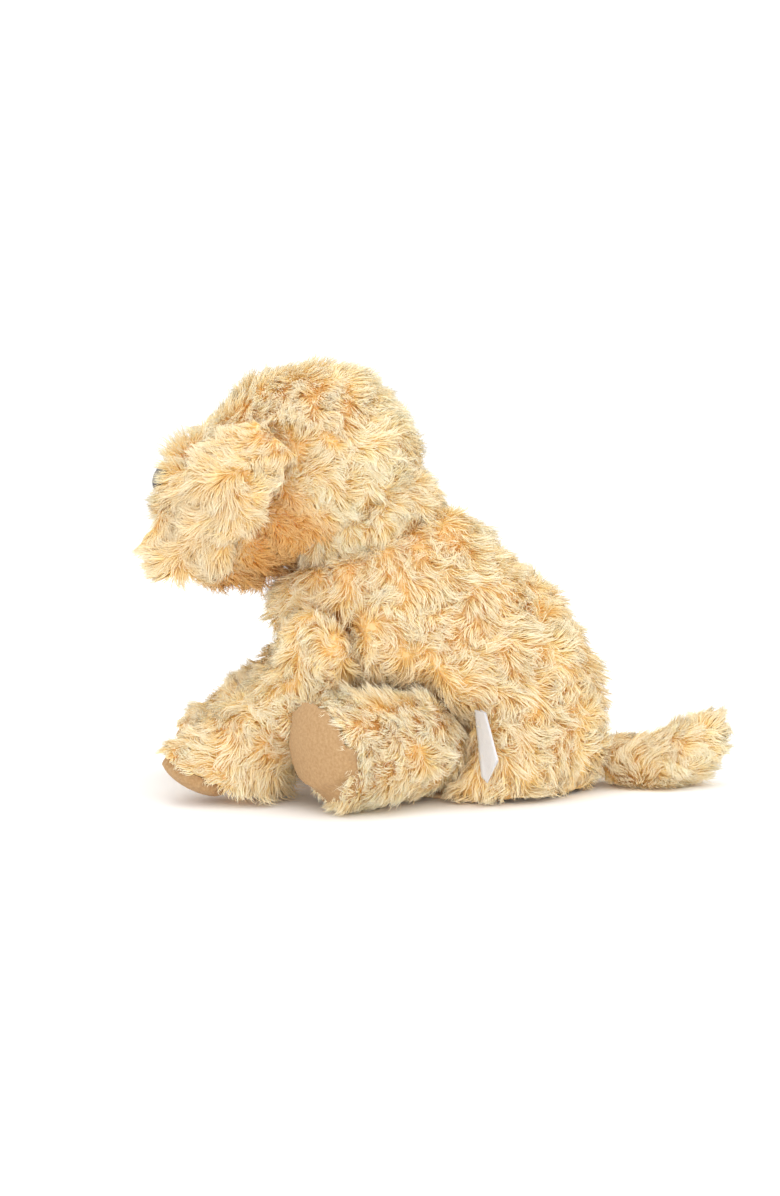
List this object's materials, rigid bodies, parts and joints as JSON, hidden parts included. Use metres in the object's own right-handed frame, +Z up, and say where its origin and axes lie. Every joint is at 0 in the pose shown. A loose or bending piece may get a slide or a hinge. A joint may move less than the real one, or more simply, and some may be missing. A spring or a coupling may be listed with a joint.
{
  "type": "plush dog",
  "caption": "Seated soft toy dog in curly cream fur with floppy ears, splayed stuffed legs, suede soles, a trailing tail and a sewn-in care label.",
  "frame": {"origin": "on the seat's flat face, on the centre line, where the toy rests on the floor", "axes": "+Z up, -Y the way the dog faces, +X towards the dog's left side"},
  "size_m": [0.2262, 0.3448, 0.2529],
  "materials": {
    "curly_fur": "long curly polyester pile, warm cream with tan roots",
    "filling": "loose polyester fibre",
    "suede": "short-nap microfibre suede",
    "seat_cloth": "short pile fabric",
    "pouch_cloth": "plain woven polyester",
    "pellets": "small polyethylene pellets",
    "ear_lining": "short soft pile",
    "eye_plastic": "glossy, near black",
    "nose_plastic": "satin, fine grain, charcoal",
    "washer_plastic": "natural moulded plastic",
    "label_satin": "woven satin ribbon"
  },
  "bodies": {
    "torso": {"seat_panel": "seat_cloth", "torso_side_left": "curly_fur", "torso_side_right": "curly_fur", "belly_gusset": "curly_fur", "torso_filling": "filling", "bean_pouch": "pouch_cloth", "bean_pellets": "pellets"},
    "neck": {"neck_filling": "filling"},
    "head": {"head_side_left": "curly_fur", "head_side_right": "curly_fur", "head_gusset": "curly_fur", "muzzle_panel": "curly_fur", "head_filling": "filling", "eye_left": "eye_plastic", "eye_right": "eye_plastic", "eye_washers": "washer_plastic", "nose": "nose_plastic", "nose_washer": "washer_plastic"},
    "ear_left": {"ear_left_fur": "curly_fur", "ear_left_lining": "ear_lining"},
    "ear_right": {"ear_right_fur": "curly_fur", "ear_right_lining": "ear_lining"},
    "front_leg_left": {"front_leg_left_fur": "curly_fur", "front_leg_left_filling": "filling", "front_leg_left_sole": "suede"},
    "front_leg_right": {"front_leg_right_fur": "curly_fur", "front_leg_right_filling": "filling", "front_leg_right_sole": "suede"},
    "hind_leg_left": {"hind_leg_left_fur": "curly_fur", "hind_leg_left_filling": "filling", "hind_leg_left_sole": "suede"},
    "hind_leg_right": {"hind_leg_right_fur": "curly_fur", "hind_leg_right_filling": "filling", "hind_leg_right_sole": "suede"},
    "tail": {"tail_fur": "curly_fur", "tail_filling": "filling"},
    "care_label": {"care_label": "label_satin", "label_insert": "label_satin"}
  },
  "joints": [
    {"name": "neck_nod", "type": "hinge", "parent": "torso", "child": "neck", "pos_m": [0, -0.0722, 0.1577], "axis": [-1, 0, 0], "range_deg": [0, 20], "stiffness_Nm_per_rad": 6},
    {"name": "head_turn", "type": "hinge", "parent": "neck", "child": "head", "pos_m": [0, -0.0722, 0.1577], "axis": [0, -0.5182, 0.8553], "range_deg": [-30, 30], "stiffness_Nm_per_rad": 1.5},
    {"name": "ear_left_lift", "type": "hinge", "parent": "head", "child": "ear_left", "pos_m": [0.054, -0.123, 0.213], "axis": [-0.4276, -0.696, 0.5768], "range_deg": [0, 95]},
    {"name": "ear_right_lift", "type": "hinge", "parent": "head", "child": "ear_right", "pos_m": [-0.054, -0.123, 0.213], "axis": [-0.4276, 0.696, -0.5768], "range_deg": [0, 95]},
    {"name": "front_leg_left_swing", "type": "hinge", "parent": "torso", "child": "front_leg_left", "pos_m": [0.046, -0.109, 0.086], "axis": [-1, 0, 0], "range_deg": [0, 48], "stiffness_Nm_per_rad": 1.2},
    {"name": "front_leg_right_swing", "type": "hinge", "parent": "torso", "child": "front_leg_right", "pos_m": [-0.046, -0.109, 0.086], "axis": [-1, 0, 0], "range_deg": [0, 48], "stiffness_Nm_per_rad": 1.2},
    {"name": "hind_leg_left_splay", "type": "hinge", "parent": "torso", "child": "hind_leg_left", "pos_m": [0.054, -0.046, 0.034], "axis": [0, 0, 1], "range_deg": [-5, 35], "stiffness_Nm_per_rad": 1},
    {"name": "hind_leg_right_splay", "type": "hinge", "parent": "torso", "child": "hind_leg_right", "pos_m": [-0.054, -0.046, 0.034], "axis": [0, 0, -1], "range_deg": [-5, 35], "stiffness_Nm_per_rad": 1},
    {"name": "tail_wag", "type": "hinge", "parent": "torso", "child": "tail", "pos_m": [0, 0.076, 0.016], "axis": [0, 0, 1], "range_deg": [-35, 35], "stiffness_Nm_per_rad": 0.2},
    {"name": "care_label_flap", "type": "hinge", "parent": "torso", "child": "care_label", "pos_m": [0.0785, -0.004, 0.06], "axis": [0, -1, 0], "range_deg": [0, 80]}
  ]
}
